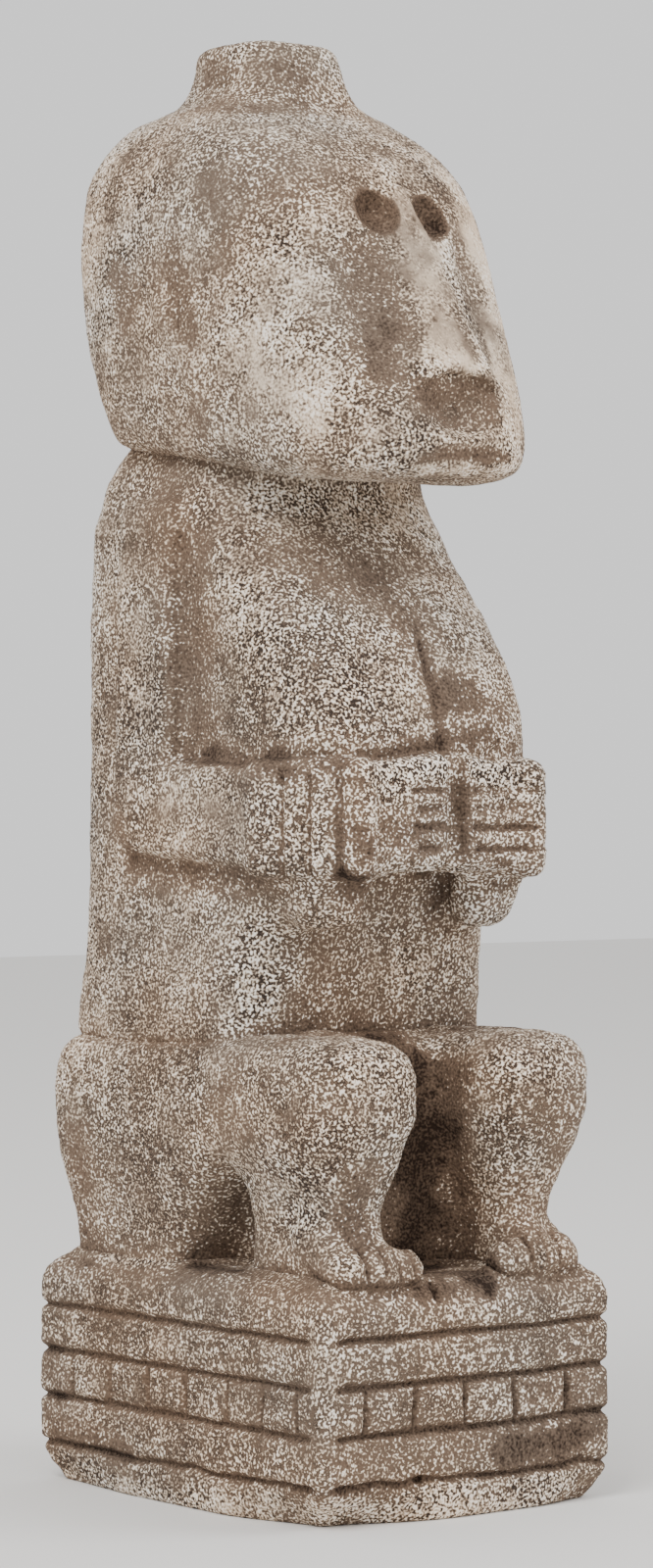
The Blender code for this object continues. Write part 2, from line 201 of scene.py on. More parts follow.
head = {
    "rows": (  # height, half width, front, back, squareness of the front
        (522.0, 63, 88, 80, 2.6), (525.5, 73, 108, 88, 2.6), (530, 80, 116.5, 94, 2.6),
        (538, 83, 119.5, 98, 2.6), (552, 86, 117.5, 101, 2.6), (575, 89, 108, 107, 2.6),
        (605, 91, 93, 114, 2.6), (635, 91, 79, 119, 2.6), (660, 90, 67, 121, 2.6),
        (680, 87, 56, 121, 2.6), (695, 81, 42, 119, 2.6), (707, 72, 26, 115.5, 2.6),
        (717.5, 60, 8, 111, 2.6), (724.5, 48, -5, 100, 2.6)),
    "middle": 20, "backPower": 4.5,
    "napeRise": 22, "napeLevels": (515, 610),      # the jaw's edge rises towards the nape
    "knobFoot": 700, "knobTop": 760, "knobSquareness": 3.4, "knobEdge": 7,
    "knobRows": (  # height, half size, middle
        (705, 56, 52), (722, 49, 49), (729, 41, 46), (736, 37, 45), (746, 34, 45), (754, 32.6, 46),
        (760, 31.6, 46)),
    "noseRows": (  # height, front, half width
        (560, 119, 27), (571, 116.5, 27), (600, 102.5, 22.5), (640, 81.5, 15), (664, 69, 10), (684, 54.5, 8),
        (700, 36, 7)),
    "noseDepth": 17, "noseBase": 576.5, "noseTop": 700, "noseBack": -25,
    "noseArch": 8, "noseArchHalf": 25,             # its lower edge drops this much, this far out
    "noseSquareness": (3.2, 4.5),                  # of its right-hand and left-hand edge
    "eye": (18.5, -68.5, 662.5), "eyeRadii": (11.8, 11.5, 13.6), "eyeTilt": -24, "eyeShift": 1.5,
    "hollow": (0, -120.5, 561), "hollowRadii": (28, 14, 17), "hollowTilt": 14,
    "trough": ((38, -84, 644), (42, -107, 590), 14, 14),      # a shallow dip down each side of the nose
    "ear": ((85.5, 30, 634), (87, 16, 612), (83, -6, 575), (77, -18, 550)), "earRadius": 6,
    "mouthHeight": 530.5, "mouthLean": 0.05, "mouthLeanFrom": -27, "mouthArch": 9, "mouthHalf": 37,
    "mouthShift": 3, "mouthDepth": 2.6, "mouthBack": -60,
    "mouthAbove": (-1.2, 2.6), "mouthBelow": (-1.5, 4.5), "mouthEnds": (1.05, 0.7),    # how its rims fade
}


def eyeSockets(p):
    # what is scooped out for the two eyes
    shifted = mirrored(p - np.array((head["eyeShift"], 0, 0)))
    return egg(shifted, head["eye"], head["eyeRadii"], (head["eyeTilt"], 0, 0))


def headForm(p):
    # the skull and its knob, with the nose set on, the hollows scooped out and the ears added
    s = head
    lift = s["napeRise"] * ease(-100, 110, p[:, 1])
    z = p[:, 2]
    for step in range(3):
        z = p[:, 2] - lift * (1 - ease(*s["napeLevels"], z))
    level = np.stack((p[:, 0], p[:, 1], z), 1)
    skull = stack(level, s["rows"], s["middle"], s["backPower"], 5)

    knob = np.asarray(s["knobRows"], float)
    size, centre = (curveThrough(p[:, 2], knob[:, 0], knob[:, i]) for i in (1, 2))
    u, v = np.abs(p[:, 0]) / size + 1e-4, np.abs(p[:, 1] - centre) / size + 1e-4
    power = s["knobSquareness"]
    side = ((u ** power + v ** power) ** (1 / power) - 1) * size
    ends = np.maximum(s["knobFoot"] - p[:, 2], p[:, 2] - s["knobTop"])
    skull = join(skull, common(side, ends, s["knobEdge"]), 3)

    nose = np.asarray(s["noseRows"], float)
    front, half = (curveThrough(p[:, 2], nose[:, 0], nose[:, i]) for i in (1, 2))
    power = np.where(p[:, 0] > 0, s["noseSquareness"][1], s["noseSquareness"][0])
    ahead = np.maximum(s["noseDepth"] - front - p[:, 1], 0)
    wedge = squareRound(np.abs(p[:, 0]), ahead, half, s["noseDepth"], power)
    bottom = s["noseBase"] - s["noseArch"] * (p[:, 0] / s["noseArchHalf"]) ** 2
    wedge = common(wedge, bottom - p[:, 2], 2.5)
    wedge = common(wedge, p[:, 2] - s["noseTop"], 6)
    face = join(skull, common(wedge, p[:, 1] - s["noseBack"], 2), 3)

    hollow = egg(p, s["hollow"], s["hollowRadii"], (s["hollowTilt"], 0, 0))
    face = cut(face, common(hollow, p[:, 2] - bottom, 2), 4)
    face = cut(face, stick(mirrored(p), *s["trough"]), 5)
    face = cut(face, eyeSockets(p), 1.5)

    q = mirrored(p)
    for a, b in zip(s["ear"], s["ear"][1:]):
        face = join(face, stick(q, a, b, s["earRadius"], s["earRadius"]), 6)
    return face


def headCarving(p):
    # the mouth: a slit between a lower lip, a little aslant, and an upper lip that arches over it
    s = head
    x = (p[:, 0] - s["mouthShift"]) / s["mouthHalf"]
    arch = s["mouthArch"] * np.clip(1 - x * x, 0, 1)
    floor = s["mouthHeight"] + s["mouthLean"] * (p[:, 0] - s["mouthLeanFrom"])
    parted = ease(*s["mouthAbove"], floor + arch - p[:, 2]) * ease(*s["mouthBelow"], p[:, 2] - floor)
    return s["mouthDepth"] * parted * ease(*s["mouthEnds"], np.abs(x)) * (p[:, 1] < s["mouthBack"])


torso = {
    "rows": (  # height, half width, front, back, squareness of the front
        (205, 48, 66, 95, 5), (222, 70, 52, 110, 5), (240, 87, 44, 119.5, 5), (262, 86, 47, 117.5, 5),
        (290, 84, 51, 115, 5), (318, 83, 60, 114.5, 5), (350, 83, 80, 114.5, 5), (390, 82, 94, 114.5, 5),
        (405, 82, 91, 114.5, 5), (427, 82, 83, 114.5, 4.6), (450, 82, 72, 114.5, 3.6),
        (475, 81, 53, 114.5, 3.2), (488, 80, 44, 114.5, 2.8), (500, 80, 36, 114, 2.6),
        (513, 77, 28, 112, 2.4), (525, 74, 24, 110, 2.3), (538, 69, 24, 104, 2.3), (560, 60, 20, 85, 2.3)),
    "middle": 20, "backPower": 6,
    "upperArm": ((72.5, 39.5, 428), (20, 25, 89), 10),       # middle, half size and edge, as below
    "elbow": 352, "upperLean": 0.0327,
    "forearm": ((68.5, -5, 350), (24, 66, 29), 13), "forearmTop": 381, "forearmFoot": 322,
    "forearmRise": ((-73, 60), (0, 12)),           # along Y, how much its underside rises to the elbow
    "wristBack": (77.0, -62.0), "wristFront": (55.1, -91.0), "wristLevels": (337.0, 366.5),
    "wristRadius": 15.5, "wristInward": 10.0, "wristSpare": 16, "wristEdge": 9,
    "palm": ((33, -86, 355.5), (35, 20.5, 30.5), 10, (0, 0, 3.4)), "palmTop": 386,
    "palmFall": ((8, 58), (0, 10)),                # along X, how much its top falls away from the middle
    "pads": (  # under the hands: two ends and their radii
        ((44, -75, 326), (46, -71, 309), 14, 14), ((59, -73, 326), (57, -66, 309), 14, 14),
        ((66, -54, 328), (56, -46, 303), 13, 12)), "padFillets": (4, 6),
    "cuffGrooves": ((0.17, 1.1), (0.56, 1.2), (0.98, 3.0)), "cuffDepth": 2.8,
    "cuffSide": (20, 14), "cuffFoot": (318, 324), "cuffTop": (378, 371), "cuffBack": -40,
    "fingers": (  # height, inner and outer end, depth: the right hand's, then the left's
        (366, -26, -5, 2.4), (356.5, -23, -5, 2.0), (347.5, -25, -5, 2.4), (337, -22, -5, 2.0),
        (366, 14, 56, 2.2), (357, 16, 50, 1.6), (346.5, 13, 57, 2.7), (335.5, 15, 54, 2.3)),
    "fingerWidth": 2.2, "fingerFade": 2, "handFront": -92, "handLevels": (318, 392),
    "handGap": ((4, -113, 352), (5.2, 11, 40), 3.5),
    "pocket": (87, -4, 428), "pocketRadii": (9, 26, 62),      # hollowed between the arm and the chest
    "creaseTop": 456, "creaseFoot": 388, "creaseDepth": 2.6, "creaseAcross": 4, "creaseWidths": (2.2, 4.8),
}


def torsoForm(p):
    # the body, hollowed beside the arms, with both arms, wrists, hands and pads joined to it
    s = torso
    body = stack(p, s["rows"], s["middle"], s["backPower"], 5)
    q = mirrored(p)
    body = cut(body, egg(q, s["pocket"], s["pocketRadii"]), 5)

    lean = s["upperLean"] * (q[:, 2] - s["elbow"])        # the upper arm leans in towards the shoulder
    leaning = np.stack((q[:, 0] + lean, q[:, 1], q[:, 2]), 1)
    body = join(body, slabForm(leaning, *s["upperArm"]), 3)

    low, high = s["forearmFoot"] + np.interp(q[:, 1], *s["forearmRise"]), s["forearmTop"]
    centre, half = (low + high) / 2, (high - low) / 2
    level = np.stack((q[:, 0], q[:, 1], q[:, 2] - centre + s["forearm"][0][2]), 1)
    fore = common(slabForm(level, *s["forearm"]), np.abs(q[:, 2] - centre) - half, 6)
    body = join(body, fore, 2.5)

    (xa, ya), (xb, yb) = s["wristBack"], s["wristFront"]
    yaw = math.degrees(math.atan2(yb - ya, xb - xa))
    length = math.hypot(xb - xa, yb - ya)
    low, high = s["wristLevels"][0] - s["wristRadius"], s["wristLevels"][1] + s["wristRadius"]
    inward = s["wristInward"]
    middle = ((xa + xb) / 2 + inward * (yb - ya) / length, (ya + yb) / 2 - inward * (xb - xa) / length,
              (low + high) / 2)
    half = (length / 2 + s["wristSpare"], s["wristRadius"] + inward, (high - low) / 2)
    body = join(body, slabForm(q, middle, half, s["wristEdge"], (0, 0, yaw)), 2.5)

    top = s["palmTop"] - np.interp(q[:, 0], *s["palmFall"])
    body = join(body, common(slabForm(q, *s["palm"]), q[:, 2] - top, 6), 2.5)

    pad = stick(q, *s["pads"][0])
    for bar, fillet in zip(s["pads"][1:], s["padFillets"]):
        pad = join(pad, stick(q, *bar), fillet)
    body = join(body, pad, 5)
    return cut(body, slabForm(p, *s["handGap"]), 3)


def torsoCarving(p):
    # the lines between the fingers, the grooves round the cuffs and the crease down the chest
    s = torso
    q = mirrored(p)
    depth = np.zeros(len(p))
    lowest, highest = s["handLevels"]
    onHand = (q[:, 1] < s["handFront"]) & (q[:, 2] > lowest) & (q[:, 2] < highest)
    waver = 0.7 * roughness(p, 9, 81)
    for height, low, high, deep in s["fingers"]:
        fade = s["fingerFade"]
        reach = ease(low - fade, low + fade, p[:, 0]) * ease(high + fade, high - fade, p[:, 0])
        line = np.exp(-((p[:, 2] - height - waver) / s["fingerWidth"]) ** 2)
        depth = np.maximum(depth, deep * line * reach * onHand)
    (xa, ya), (xb, yb) = s["wristBack"], s["wristFront"]
    length = math.hypot(xb - xa, yb - ya)
    along = ((q[:, 0] - xa) * (xb - xa) + (q[:, 1] - ya) * (yb - ya)) / length
    aside = ((q[:, 0] - xa) * (yb - ya) - (q[:, 1] - ya) * (xb - xa)) / length
    onWrist = ease(*s["cuffSide"], -aside) * ease(*s["cuffFoot"], q[:, 2]) * (q[:, 1] < s["cuffBack"])
    onWrist *= ease(*s["cuffTop"], q[:, 2])
    for share, width in s["cuffGrooves"]:
        line = np.exp(-((along - share * length) / width) ** 2)
        depth = np.maximum(depth, s["cuffDepth"] * line * onWrist)

    t = np.clip((s["creaseTop"] - p[:, 2]) / (s["creaseTop"] - s["creaseFoot"]), 0, 1)
    width = s["creaseWidths"][0] * (1 - t) + s["creaseWidths"][1] * t
    line = np.exp(-((p[:, 0] - s["creaseAcross"]) / width) ** 2)
    onChest = (p[:, 1] < -40) * ease(s["creaseFoot"] - 6, s["creaseFoot"] + 2, p[:, 2])
    return np.maximum(depth, s["creaseDepth"] * ease(0, 0.3, t) * line * onChest)


legs = {
    "hipRows": (  # height, half width, front, back, squareness of the front
        (100, 85, -10, 105, 5), (122, 86, -7, 106, 5), (140, 87, 2, 108, 5), (155, 89.5, 11, 112, 5),
        (166, 92, 22, 115, 5), (176, 93.5, 36, 117, 5), (190, 94.5, 54, 119, 5), (208, 94.5, 60, 119.5, 5),
        (222, 93, 60, 117.5, 5), (232, 89.5, 56, 113, 5), (238, 82, 46, 105, 5)),
    "hipMiddle": 45,
    "legRows": (  # height, inner edge, outer edge, front, back, squareness
        (100, 36, 76, -102, -28, 3), (140, 36, 76, -103.5, -29, 3), (155, 35, 77.5, -105, -28, 3),
        (167, 31, 81.5, -109, -25, 3), (178, 27, 87, -112, -15, 3.2), (190, 23, 92.5, -115.5, 10, 3.6),
        (203, 20, 94, -118.5, 40, 4.5), (220, 20, 94, -119, 50, 4.5), (231, 24, 91.5, -116.5, 40, 4.5),
        (238, 31, 85, -110, 30, 4.5), (241.5, 40, 77, -100, 20, 4.5)),
    "foot": (  # the ball across the toes and the ridges down to it: two ends, radii
        ((34, -108, 126), (72, -106, 125), 10, 10), ((52, -92, 139), (52, -110, 127), 13, 11),
        ((69, -84, 140), (69, -106, 126), 11, 10)),
    "sole": ((58, -86, 126), (19, 26, 10), 8), "footFillet": 6,
    "core": ((0, 14.5, 150), (46, 80.5, 88), 12),  # what stands between the legs: middle, half, edge
    "sunkFrom": 118, "sunkTo": 60,
    "latticeX": ((-101, 1.6), (103, 0)),          # where points are laid, and how close
    "latticeY": ((-126, 1.4), (-84, 1.7), (126, 0)),
    "latticeZ": ((112.7, 1.4), (146, 1.6), (246, 0)),
    "toes": 5, "toeFirst": 33.5, "toeStep": 10, "toeDepth": 2.6, "toeWidth": 1.3,
    "toesAhead": (-104, -110), "toesFoot": (121, 126), "toesTop": (142, 136),
    "slabLevel": 122,                              # where the legs meet the block's top
}


def legsForm(p):
    # what stands on the slab, run straight down into the block
    s = legs
    sunk = s["sunkTo"] - p[:, 2]
    p = p.copy()
    p[:, 2] = np.maximum(p[:, 2], s["sunkFrom"])
    hips = stack(p, s["hipRows"], s["hipMiddle"], 10, 4)
    q = mirrored(p)
    rows = np.asarray(s["legRows"], float)
    inner, outer, front, back, power = (curveThrough(q[:, 2], rows[:, 0], rows[:, i]) for i in range(1, 6))
    halfWide, halfDeep = (outer - inner) / 2, (back - front) / 2
    across, along = np.abs(q[:, 0] - (inner + outer) / 2), np.abs(q[:, 1] - (front + back) / 2)
    leg = squareRound(across, along, halfWide, halfDeep, power)
    leg = common(leg, q[:, 2] - rows[-1, 0], 4)
    body = join(hips, leg, 5)

    foot = stick(q, *s["foot"][0])
    for bar in s["foot"][1:]:
        foot = join(foot, stick(q, *bar), s["footFillet"])
    foot = join(foot, slabForm(q, *s["sole"]), s["footFillet"])
    body = join(body, foot, s["footFillet"])
    body = join(body, slabForm(p, *s["core"]), 16)
    return common(body, sunk, 2)


def legsCarving(p):
    # the lines between the toes
    s = legs
    q = mirrored(p)
    depth = np.zeros(len(p))
    onToes = ease(*s["toesAhead"], q[:, 1]) * ease(*s["toesFoot"], q[:, 2]) * ease(*s["toesTop"], q[:, 2])
    for i in range(s["toes"] - 1):
        line = np.exp(-((q[:, 0] - s["toeFirst"] - s["toeStep"] * i) / s["toeWidth"]) ** 2)
        depth = np.maximum(depth, s["toeDepth"] * line * onToes)
    return depth


def standing(p):
    # how far a place on the slab is from the legs and seat that stand on it
    return legsForm(np.stack((p[:, 0], p[:, 1], np.full(len(p), float(legs["slabLevel"]))), 1))


def wholeForm(p):
    # the whole statue: the nearest of its four parts
    return np.minimum(np.minimum(headForm(p), torsoForm(p)), np.minimum(legsForm(p), blockForm(p)))


def steepest(form, p):
    # the distance and its direction of fastest growth, by small steps along each axis
    here = form(p)
    small = 0.05
    around = [form(p + step) - here for step in small * np.eye(3)]
    return here, np.stack(around, 1) / small


def settle(form, p, rounds=1):
    # points slid on to the surface along the steepest way, 4 mm a time at most
    for step in range(rounds):
        here, way = steepest(form, p)
        size = np.maximum((way ** 2).sum(1), 0.05)
        p = p - np.clip(here / size, -4, 4)[:, None] * way
    return p


nets = {
    "around": 56, "up": 28,                        # points at first
    "rounds": ((60, 40, 20, 8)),      # on each finer net
    "stay": 0.2,                                   # the share of its place that a point keeps
    "reach": 240, "steps": 90, "stride": 0.6,      # how far out the rays start, and how they walk in
}


def wrap(form, spine, caps, attract):
    # A closed net round a form: a point for each place around and up, first found by walking in
    # from outside on rays aimed at an upright spine, which tilt over its two ends (caps), then
    # spread evenly: each point moves to the mean of its four neighbours, drawn to where there
    # should be more (attract), and back on to the form, on finer and finer nets.
    s = nets
    shape = (s["up"], s["around"], 3)
    v = np.linspace(0, 1, shape[0])
    tilt = 90 * (np.maximum(v - 1 + caps, 0) - np.maximum(caps - v, 0)) / caps
    aim = np.clip((v - caps) / (1 - 2 * caps), 0, 1)
    turn = np.linspace(0, 2 * math.pi, shape[1], endpoint=False)
    tilt, turnGrid = np.meshgrid(np.radians(tilt), turn, indexing="ij")
    way = np.stack((np.cos(tilt) * np.cos(turnGrid), np.cos(tilt) * np.sin(turnGrid), np.sin(tilt)), 2)
    way = way.reshape(-1, 3)
    x, y, low, high = spine
    foot = np.zeros(shape)
    foot[:, :, 0], foot[:, :, 1] = x, y
    foot[:, :, 2] = (low + aim * (high - low))[:, None]
    foot = foot.reshape(-1, 3)
    far = np.full(len(foot), float(s["reach"]))
    for step in range(s["steps"]):
        far = np.maximum(far - s["stride"] * np.clip(form(foot + far[:, None] * way), -2, 30), 1.0)
    net = (foot + far[:, None] * way).reshape(shape)

    for level, count in enumerate(s["rounds"]):
        if level:
            finer = np.zeros((2 * len(net) - 1,) + net.shape[1:])
            finer[::2], finer[1::2] = net, (net[:-1] + net[1:]) / 2
            net = np.stack((finer, (finer + np.roll(finer, -1, 1)) / 2), 2).reshape(len(finer), -1, 3)
        for step in range(count):
            pull = attract(net.reshape(-1, 3)).reshape(net.shape[:2])[:, :, None]
            total, share = (a[:-2] + a[2:] + np.roll(a, 1, 1)[1:-1] + np.roll(a, -1, 1)[1:-1]
                            for a in (net * pull, pull))
            moved = s["stay"] * net[1:-1] + (1 - s["stay"]) * total / share
            net[1:-1] = settle(form, moved.reshape(-1, 3)).reshape(moved.shape)
            net[0] = settle(form, net[1].mean(0)[None])[0]
            net[-1] = settle(form, net[-2].mean(0)[None])[0]
    net[1:-1] = settle(form, net[1:-1].reshape(-1, 3), 2).reshape(net[1:-1].shape)
    return net


def facing(net):
    # which way the surface looks at each point of a net: across its two directions
    around = np.roll(net, -1, 1) - np.roll(net, 1, 1)
    upward = np.zeros_like(net)
    upward[1:-1] = net[2:] - net[:-2]
    normal = np.cross(around, upward)
    length = np.sqrt((normal ** 2).sum(2, keepdims=True))
    normal = normal / np.maximum(length, 1e-9)
    normal[0], normal[-1] = (0, 0, -1), (0, 0, 1)
    return normal


def netFaces(rows, columns):
    # squares between the rows of a closed net, with one point at each pole and triangles round it
    at = lambda row, column: 1 + row * columns + column % columns
    row, column = np.meshgrid(np.arange(rows - 3), np.arange(columns), indexing="ij")
    corners = ((0, 0), (0, 1), (1, 1), (1, 0))
    squares = np.stack([at(row + up, column + on) for up, on in corners], 2)
    ring, last = np.arange(columns), 1 + (rows - 2) * columns
    foot = np.stack((np.zeros(columns, int), at(0, ring + 1), at(0, ring)), 1)
    crown = np.stack((np.full(columns, last), at(rows - 3, ring), at(rows - 3, ring + 1)), 1)
    return squares.reshape(-1, 4).tolist() + foot.tolist() + crown.tolist()


def ofNet(grid):
    # a net's values in one row, its poles once each
    return np.concatenate((grid[0, :1], grid[1:-1].reshape((-1,) + grid.shape[2:]), grid[-1, :1]))


def ruled(stops):
    # places along an axis: from each stop to the next at the first one's spacing
    return np.concatenate([np.arange(start, end, step) for (start, step), (end, _) in zip(stops, stops[1:])])


def latticeSkin(form, axes):
    # The surface of a form read off a lattice: each cell that it passes through gets one point, the
    # mean of where it crosses the cell's edges, and each lattice edge that it crosses gets one square.
    shape = [len(axis) for axis in axes]
    distance = form(np.stack(np.meshgrid(*axes, indexing="ij"), 3).reshape(-1, 3)).reshape(shape)
    cells = [n - 1 for n in shape]
    total, count, number = np.zeros(cells + [3]), np.zeros(cells), np.full(cells, -1)
    edges = []
    for axis in range(3):
        order = (axis, (axis + 1) % 3, (axis + 2) % 3)
        low, high = distance.transpose(order)[:-1], distance.transpose(order)[1:]
        crossed = (low < 0) != (high < 0)
        share = np.where(crossed, low / np.where(crossed, low - high, 1), 0)
        edges.append((order, crossed, low < 0))
        sums, hits = total.transpose(order + (3,)), count.transpose(order)
        for du, dv in np.ndindex(2, 2):
            here = np.s_[:, du:crossed.shape[1] - 1 + du, dv:crossed.shape[2] - 1 + dv]
            hits += crossed[here]
            for part, value in zip(order, (share[here], du, dv)):
                sums[..., part] += crossed[here] * value
    used = count > 0
    number[used] = np.arange(used.sum())
    place = np.argwhere(used) + total[used] / count[used][:, None]
    points = np.stack([np.interp(place[:, i], np.arange(shape[i]), axes[i]) for i in range(3)], 1)
    faces = []
    for order, crossed, lowInside in edges:
        n = number.transpose(order)
        squares = np.stack((n[:, :-1, :-1], n[:, 1:, :-1], n[:, 1:, 1:], n[:, :-1, 1:]), 3)
        crossed, lowInside = crossed[:, 1:-1, 1:-1], lowInside[:, 1:-1, 1:-1]
        faces += squares[crossed & lowInside].tolist() + squares[crossed & ~lowInside][:, ::-1].tolist()
    return points, faces


def addObject(name, data):
    # puts a mesh, a lamp or a camera into the scene
    thing = bpy.data.objects.new(name, data)
    bpy.context.scene.collection.objects.link(thing)
    return thing


def makePiece(name, points, faces, marks):
    # a closed mesh with the marks that the wash reads at each point
    mesh = bpy.data.meshes.new(name)
    mesh.from_pydata(points * mm, [], faces)
    for mark, values in marks.items():
        mesh.attributes.new(mark, "FLOAT", "POINT").data.foreach_set("value", values.astype(np.float32))
    shell = bmesh.new()
    shell.from_mesh(mesh)
    openEdges = [edge for edge in shell.edges if edge.is_boundary]
    if openEdges:
        bmesh.ops.holes_fill(shell, edges=openEdges, sides=0)
        bmesh.ops.recalc_face_normals(shell, faces=shell.faces)
        shell.to_mesh(mesh)
    shell.free()
    mesh.shade_smooth()
    print("made", name, "with", sum(len(face.vertices) - 2 for face in mesh.polygons), "triangles")
    return addObject(name, mesh)


grain = {
    "bumps": ((46, 0.55), (13, 0.38), (4.4, 0.30), (2.6, 0.17)),     # size and height, widest first
    "fine": 10,                                    # bumps below this size are this strong:
    "onHead": 0.7, "onBody": 0.5, "onHands": 1.4,  # on the head, and what the body and the hands add
    "pitSpacing": 10, "pitRadius": 1.4, "pitDepth": 0.9,
}


def handsNear(p):
    # 1 on the hands, falling to 0 over the wrists
    return ease(70, 35, farFrom(mirrored(p), (35, -95, 352)))


def stoneRelief(p):
    # how far the rough surface stands above the carved form: four sizes of bumps added up;
    # the two finest are stronger below the neck than on the head, and strongest on the hands
    s = grain
    height = np.zeros(len(p))
    rugged = s["onHead"] + s["onBody"] * ease(540, 480, p[:, 2]) + s["onHands"] * handsNear(p)
    for seed, (size, amount) in enumerate(s["bumps"]):
        height += amount * roughness(p, size, 11 + seed) * (rugged if size < s["fine"] else 1)
    return height


wear = {
    "outwards": ((5, 0.3), (14, 0.35), (32, 0.35)), "inwards": ((3, 0.5), (8, 0.5)),  # mm looked at, share
    "carved": 0.4, "pitted": 0.8, "edges": 0.9, "edgesMost": 0.6,       # what each does to the shelter
    "boldBody": 0.2, "boldFront": 0.35, "boldKnob": 0.2,                # where the flecks stand out
    "sockets": 1.7,                                # how brown the eye sockets are: the body's colour and painted shade in their hollow
}


def shelter(p, normal, form):
    # how enclosed a place is, 0 in the open to 1 in a hollow: how much of the way out is lost; it darkens the
    # wash as painted shade
    total = np.zeros(len(p))
    for reach, weight in wear["outwards"]:
        total += weight * np.clip(1 - form(p + reach * normal) / reach, 0, 1.4)
    return total


def exposed(p, normal, form):
    # how much a place stands out as an edge: how soon the stone ends behind it; it lightens the wash there as
    # painted light
    total = np.zeros(len(p))
    for depth, weight in wear["inwards"]:
        total += weight * np.clip(0.85 + form(p - depth * normal) / depth, 0, 1)
    return total


